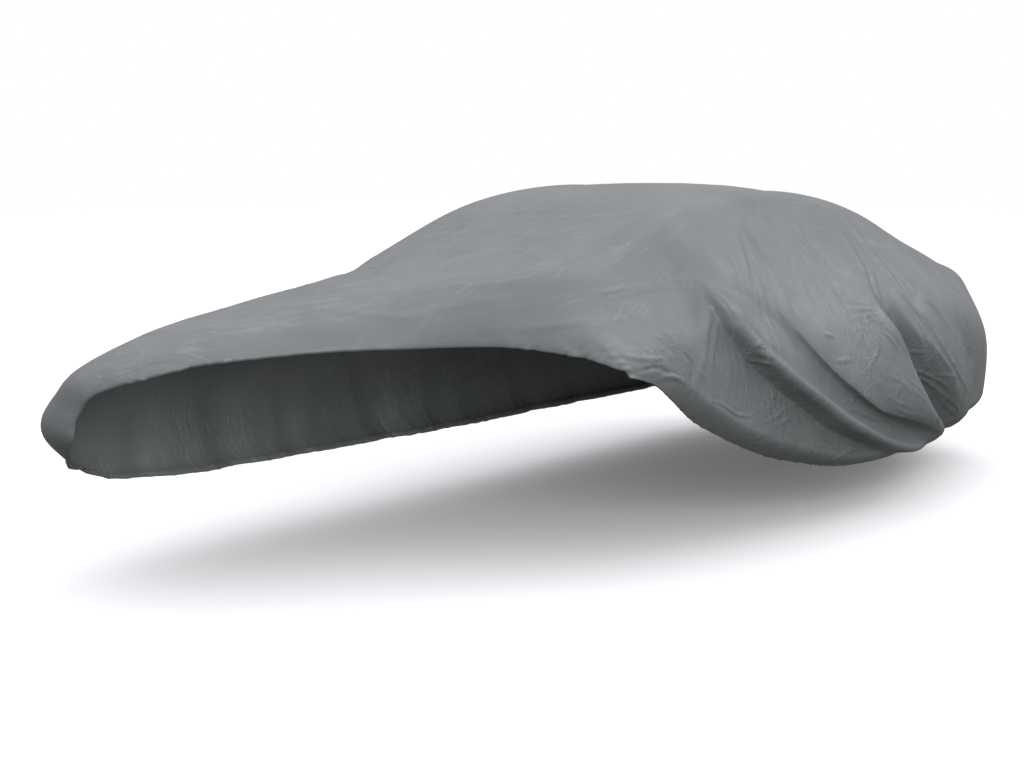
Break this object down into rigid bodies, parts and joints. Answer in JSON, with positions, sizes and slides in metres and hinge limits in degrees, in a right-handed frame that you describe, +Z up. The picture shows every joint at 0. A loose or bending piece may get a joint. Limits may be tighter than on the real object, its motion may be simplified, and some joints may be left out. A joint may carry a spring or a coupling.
{
  "type": "car cover",
  "caption": "Grey plastic-film car cover draped to a saloon's shape, hollow below, its front near corner drawn back in long diagonal folds.",
  "frame": {"origin": "the point of the cover's underside that rests on the middle of the roof under it", "axes": "+X to the tail, -X to the nose, +Y to the far side, -Y to the near side whose front corner is drawn back, +Z up"},
  "size_m": [4.9722, 2.1351, 1.3252],
  "materials": {
    "film": "satin"
  },
  "bodies": {
    "root": {"cover": "film"}
  },
  "joints": []
}
